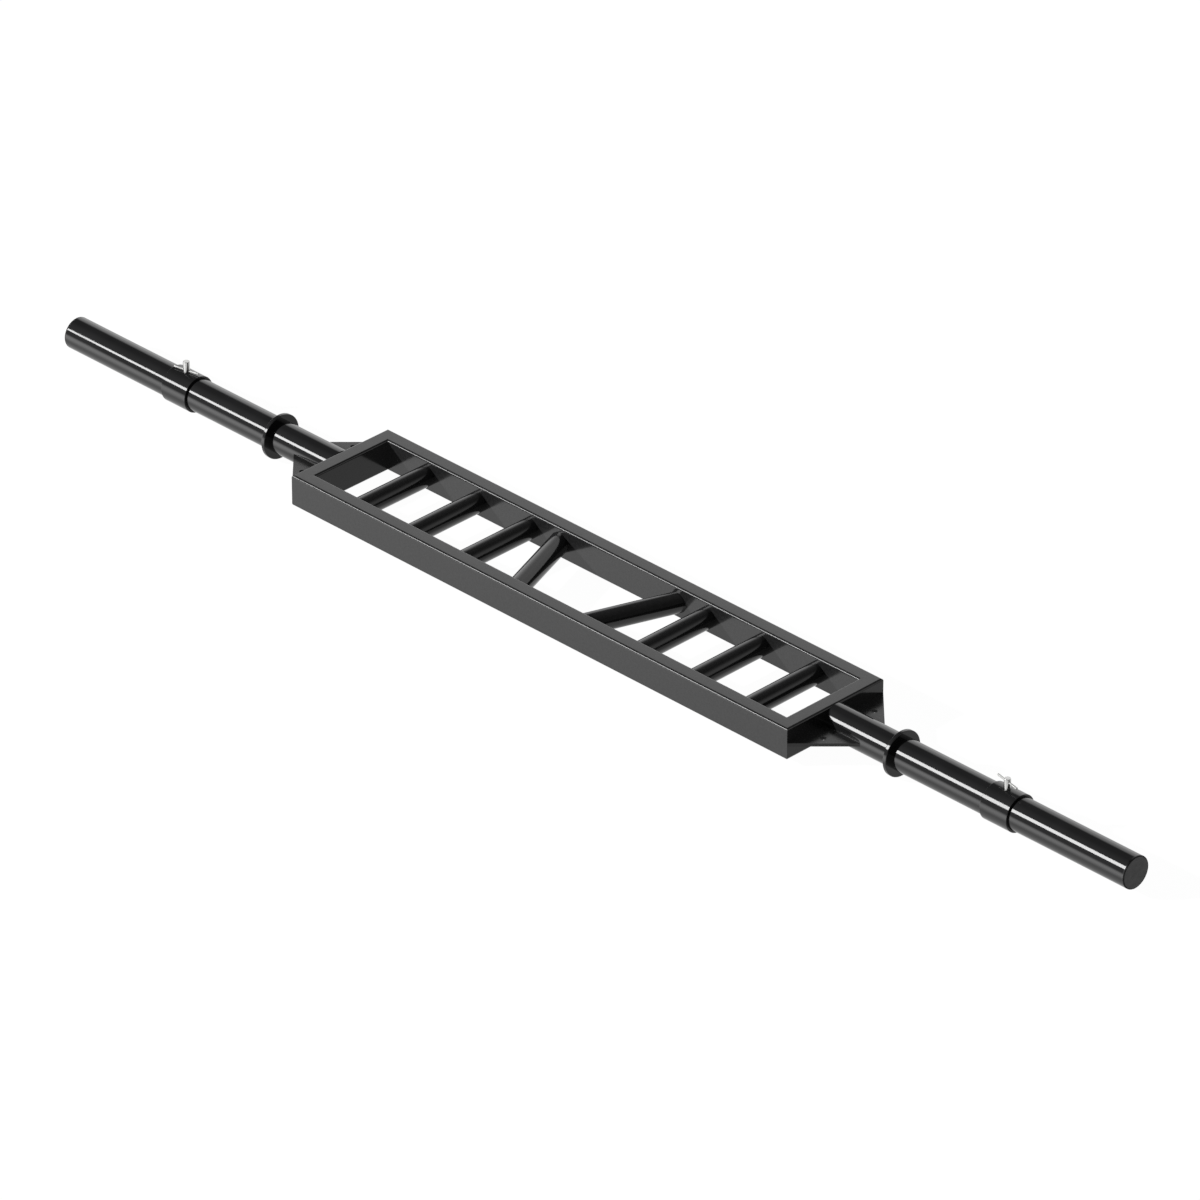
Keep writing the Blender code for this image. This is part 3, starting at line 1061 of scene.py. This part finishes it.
def build_floor(settings):
    """A plain floor. The camera sees it near white, with the object's shadow faint on it."""
    half = settings.floor_size / 2
    mesh = bpy.data.meshes.new("floor")
    corners = [(-half, -half, 0), (half, -half, 0), (half, half, 0), (-half, half, 0)]
    mesh.from_pydata(corners, [], [(0, 1, 2, 3)])
    material = bpy.data.materials.new("floor_paper")
    material.use_nodes = True
    material.cycles.emission_sampling = "NONE"
    sheet = Sheet(material.node_tree)
    material.node_tree.nodes.remove(material.node_tree.nodes["Principled BSDF"])
    paper = sheet.add("ShaderNodeBsdfDiffuse")
    paper.inputs["Color"].default_value = (*settings.floor_colour, 1)
    white = sheet.add("ShaderNodeEmission")
    white.inputs["Strength"].default_value = FLOOR_WHITE
    rays = sheet.add("ShaderNodeLightPath").outputs
    lift = sheet.math("MULTIPLY", rays["Is Camera Ray"], settings.floor_lift)
    mix = sheet.add("ShaderNodeMixShader")
    sheet.feed(mix.inputs[0], lift)
    sheet.feed(mix.inputs[1], paper.outputs[0])
    sheet.feed(mix.inputs[2], white.outputs[0])
    sheet.feed(material.node_tree.nodes["Material Output"].inputs["Surface"], mix.outputs[0])
    mesh.materials.append(material)
    floor = bpy.data.objects.new("floor", mesh)
    floor.visible_diffuse = False
    floor.visible_glossy = False
    floor.visible_transmission = False
    bpy.context.scene.collection.objects.link(floor)


def add_softbox(settings):
    """A far oval lamp that shows only in gloss, as the streak along the sleeves.

    Its power follows its face, so that a larger one is no brighter in the streak.
    """
    lamp = bpy.data.lights.new("softbox", "AREA")
    lamp.shape = "ELLIPSE"
    lamp.size = 2 * SOFTBOX_DISTANCE * math.tan(SOFTBOX_HALF_WIDTH)
    lamp.size_y = 2 * SOFTBOX_DISTANCE * math.tan(SOFTBOX_HALF_HEIGHT)
    face = math.pi / 4 * lamp.size * lamp.size_y
    lamp.energy = settings.softbox_level * face * math.pi
    box = bpy.data.objects.new("softbox", lamp)
    towards_box, up_face = lamp_axes(SOFTBOX_LEAN, SOFTBOX_HEIGHT)
    across = up_face.cross(towards_box)
    place = Matrix((across, up_face, towards_box)).transposed() @ Matrix.Rotation(SOFTBOX_ROLL, 3, "Z")
    box.matrix_world = Matrix.Translation(towards_box * SOFTBOX_DISTANCE) @ place.to_4x4()
    box.visible_camera = False
    box.visible_diffuse = False
    bpy.context.scene.collection.objects.link(box)


def add_key_lamp(settings):
    """One distant lamp from the same side, which lights the matt surfaces."""
    lamp = bpy.data.lights.new("key", "SUN")
    lamp.energy = settings.sun_strength
    lamp.angle = settings.sun_angle
    key = bpy.data.objects.new("key", lamp)
    key.rotation_euler = lamp_axes(KEY_LEAN, KEY_HEIGHT)[0].to_track_quat("Z", "Y").to_euler()
    key.visible_glossy = False
    bpy.context.scene.collection.objects.link(key)


def add_camera():
    """The photograph's camera, with no shift and no depth of field."""
    lens = bpy.data.cameras.new("camera")
    lens.lens = CAMERA_LENS
    lens.sensor_width = CAMERA_SENSOR
    lens.clip_end = CAMERA_REACH
    camera = bpy.data.objects.new("camera", lens)
    place = Vector(CAMERA_PLACE)
    camera.location = place
    camera.rotation_euler = (place - Vector(CAMERA_TARGET)).to_track_quat("Z", "Y").to_euler()
    bpy.context.scene.collection.objects.link(camera)
    bpy.context.scene.camera = camera


class SWISS_BAR_OT_set_stage(Operator):
    """Set the floor, the surroundings, the key lamp and the camera"""

    bl_idname = "swiss_bar.set_stage"
    bl_label = "Set Stage"

    def execute(self, context):
        settings = context.scene.swiss_bar_stage
        context.scene.world = build_world(settings)
        build_floor(settings)
        add_softbox(settings)
        add_key_lamp(settings)
        add_camera()
        context.scene.view_settings.view_transform = "Standard"
        return {"FINISHED"}


SETTINGS = {
    "swiss_bar_frame": SwissBarFrameSettings,
    "swiss_bar_sleeves": SwissBarSleeveSettings,
    "swiss_bar_screws": SwissBarScrewSettings,
    "swiss_bar_stage": SwissBarStageSettings,
}

# The operators in the order in which main runs them
STEPS = (
    SWISS_BAR_OT_add_rails,
    SWISS_BAR_OT_add_grips,
    SWISS_BAR_OT_add_gussets,
    SWISS_BAR_OT_add_sleeves,
    SWISS_BAR_OT_add_stop_rings,
    SWISS_BAR_OT_add_collars,
    SWISS_BAR_OT_add_clamp_screws,
    SWISS_BAR_OT_finish_pads,
    SWISS_BAR_OT_set_stage,
)


class SWISS_BAR_PT_steps(Panel):
    """The steps that finish the bar, and their settings"""

    bl_idname = "SWISS_BAR_PT_steps"
    bl_label = "Swiss Bar"
    bl_space_type = "VIEW_3D"
    bl_region_type = "UI"
    bl_category = "Swiss Bar"

    def draw(self, context):
        layout = self.layout
        for step in STEPS:
            layout.operator(step.bl_idname)
        for group in SETTINGS:
            column = layout.column(align=True)
            settings = getattr(context.scene, group)
            for name in settings.bl_rna.properties.keys():
                if name not in ("rna_type", "name"):
                    column.prop(settings, name)


def register():
    for name, group in SETTINGS.items():
        bpy.utils.register_class(group)
        setattr(bpy.types.Scene, name, PointerProperty(type=group))
    for step in STEPS:
        bpy.utils.register_class(step)
    bpy.utils.register_class(SWISS_BAR_PT_steps)


def unregister():
    bpy.utils.unregister_class(SWISS_BAR_PT_steps)
    for step in reversed(STEPS):
        bpy.utils.unregister_class(step)
    for name, group in reversed(SETTINGS.items()):
        delattr(bpy.types.Scene, name)
        bpy.utils.unregister_class(group)


def main():
    register()
    for step in STEPS:
        group, name = step.bl_idname.split(".")
        getattr(getattr(bpy.ops, group), name)()


if __name__ == "__main__":
    main()
